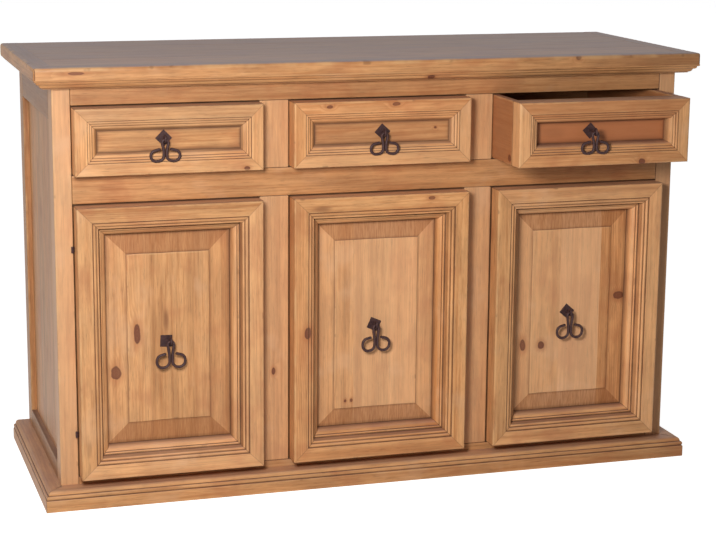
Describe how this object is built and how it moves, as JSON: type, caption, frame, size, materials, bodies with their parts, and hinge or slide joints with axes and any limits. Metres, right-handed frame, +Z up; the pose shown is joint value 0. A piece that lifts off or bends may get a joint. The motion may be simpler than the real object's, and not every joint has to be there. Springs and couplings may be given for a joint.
{
  "type": "rustic pine sideboard",
  "caption": "Rustic pine sideboard with panelled drawers above raised-panel cupboard doors, a planked top, a moulded plinth and hand-forged iron pulls.",
  "frame": {"origin": "on the floor, in the middle of the base: half way across the carcass, and half way from the plinth's front to the back", "axes": "+X to the right as seen from the front, +Y to the back, +Z up"},
  "size_m": [1.448, 0.6689, 0.915],
  "materials": {
    "waxed_pine": "waxed, honey coloured, antiqued",
    "plain_pine": "unfinished",
    "forged_iron": "dark, hand-forged, waxed",
    "catch_steel": "zinc plated"
  },
  "bodies": {
    "carcass": {"back_boards": "plain_pine", "back_rails": "plain_pine", "bottom_rail": "waxed_pine", "cabinet_floor": "plain_pine", "cornice": "waxed_pine", "door_catches": "catch_steel", "door_muntins": "waxed_pine", "door_stop": "plain_pine", "drawer_kickers": "plain_pine", "drawer_muntins": "waxed_pine", "drawer_runners": "plain_pine", "floor_bearer": "plain_pine", "front_post_left": "waxed_pine", "front_post_right": "waxed_pine", "hinge_eyes": "forged_iron", "mid_rail": "waxed_pine", "plinth": "waxed_pine", "rear_post_left": "waxed_pine", "rear_post_right": "waxed_pine", "shelf": "plain_pine", "shelf_cleats": "plain_pine", "side_panel_left": "waxed_pine", "side_panel_right": "waxed_pine", "side_rails_left": "waxed_pine", "side_rails_right": "waxed_pine", "top_border": "waxed_pine", "top_planks": "waxed_pine", "top_rail": "waxed_pine"},
    "drawer_1": {"drawer_1_frame": "waxed_pine", "drawer_1_panel": "waxed_pine", "drawer_1_box": "plain_pine", "drawer_1_staple": "forged_iron"},
    "door_1": {"door_1_frame": "waxed_pine", "door_1_panel": "waxed_pine", "door_1_fittings": "forged_iron", "door_1_staple": "forged_iron"},
    "drawer_1_pull": {"drawer_1_bail": "forged_iron"},
    "door_1_pull": {"door_1_bail": "forged_iron"},
    "drawer_2": {"drawer_2_frame": "waxed_pine", "drawer_2_panel": "waxed_pine", "drawer_2_box": "plain_pine", "drawer_2_staple": "forged_iron"},
    "door_2": {"door_2_frame": "waxed_pine", "door_2_panel": "waxed_pine", "door_2_fittings": "forged_iron", "door_2_staple": "forged_iron"},
    "drawer_2_pull": {"drawer_2_bail": "forged_iron"},
    "door_2_pull": {"door_2_bail": "forged_iron"},
    "drawer_3": {"drawer_3_frame": "waxed_pine", "drawer_3_panel": "waxed_pine", "drawer_3_box": "plain_pine", "drawer_3_staple": "forged_iron"},
    "door_3": {"door_3_frame": "waxed_pine", "door_3_panel": "waxed_pine", "door_3_fittings": "forged_iron", "door_3_staple": "forged_iron"},
    "drawer_3_pull": {"drawer_3_bail": "forged_iron"},
    "door_3_pull": {"door_3_bail": "forged_iron"}
  },
  "joints": [
    {"name": "drawer_1_slide", "type": "slide", "parent": "carcass", "child": "drawer_1", "axis": [0, -1, 0], "range_m": [0, 0.33]},
    {"name": "drawer_1_pull_swing", "type": "hinge", "parent": "drawer_1", "child": "drawer_1_pull", "pos_m": [-0.464, -0.275, 0.76661], "axis": [-1, 0, 0], "range_deg": [0, 180]},
    {"name": "drawer_2_slide", "type": "slide", "parent": "carcass", "child": "drawer_2", "axis": [0, -1, 0], "range_m": [0, 0.33]},
    {"name": "drawer_2_pull_swing", "type": "hinge", "parent": "drawer_2", "child": "drawer_2_pull", "pos_m": [0, -0.275, 0.76416], "axis": [-1, 0, 0], "range_deg": [0, 180]},
    {"name": "drawer_3_slide", "type": "slide", "parent": "carcass", "child": "drawer_3", "axis": [0, -1, 0], "range_m": [-0.112, 0.218]},
    {"name": "drawer_3_pull_swing", "type": "hinge", "parent": "drawer_3", "child": "drawer_3_pull", "pos_m": [0.42723, -0.387, 0.76661], "axis": [-1, 0, 0], "range_deg": [0, 180]},
    {"name": "door_1_hinge", "type": "hinge", "parent": "carcass", "child": "door_1", "pos_m": [-0.6487, -0.2329, 0.34625], "axis": [0, 0, -1], "range_deg": [0, 95]},
    {"name": "door_2_hinge", "type": "hinge", "parent": "carcass", "child": "door_2", "pos_m": [0.1967, -0.2329, 0.34625], "axis": [0, 0, 1], "range_deg": [0, 95]},
    {"name": "door_3_hinge", "type": "hinge", "parent": "carcass", "child": "door_3", "pos_m": [0.6487, -0.2329, 0.34625], "axis": [0, 0, 1], "range_deg": [0, 95]},
    {"name": "door_1_pull_swing", "type": "hinge", "parent": "door_1", "child": "door_1_pull", "pos_m": [-0.452, -0.2465, 0.34049], "axis": [-1, 0, 0], "range_deg": [0, 180]},
    {"name": "door_2_pull_swing", "type": "hinge", "parent": "door_2", "child": "door_2_pull", "pos_m": [-0.0054, -0.2465, 0.34619], "axis": [-1, 0, 0], "range_deg": [0, 180]},
    {"name": "door_3_pull_swing", "type": "hinge", "parent": "door_3", "child": "door_3_pull", "pos_m": [0.44429, -0.2465, 0.34505], "axis": [-1, 0, 0], "range_deg": [0, 180]}
  ]
}
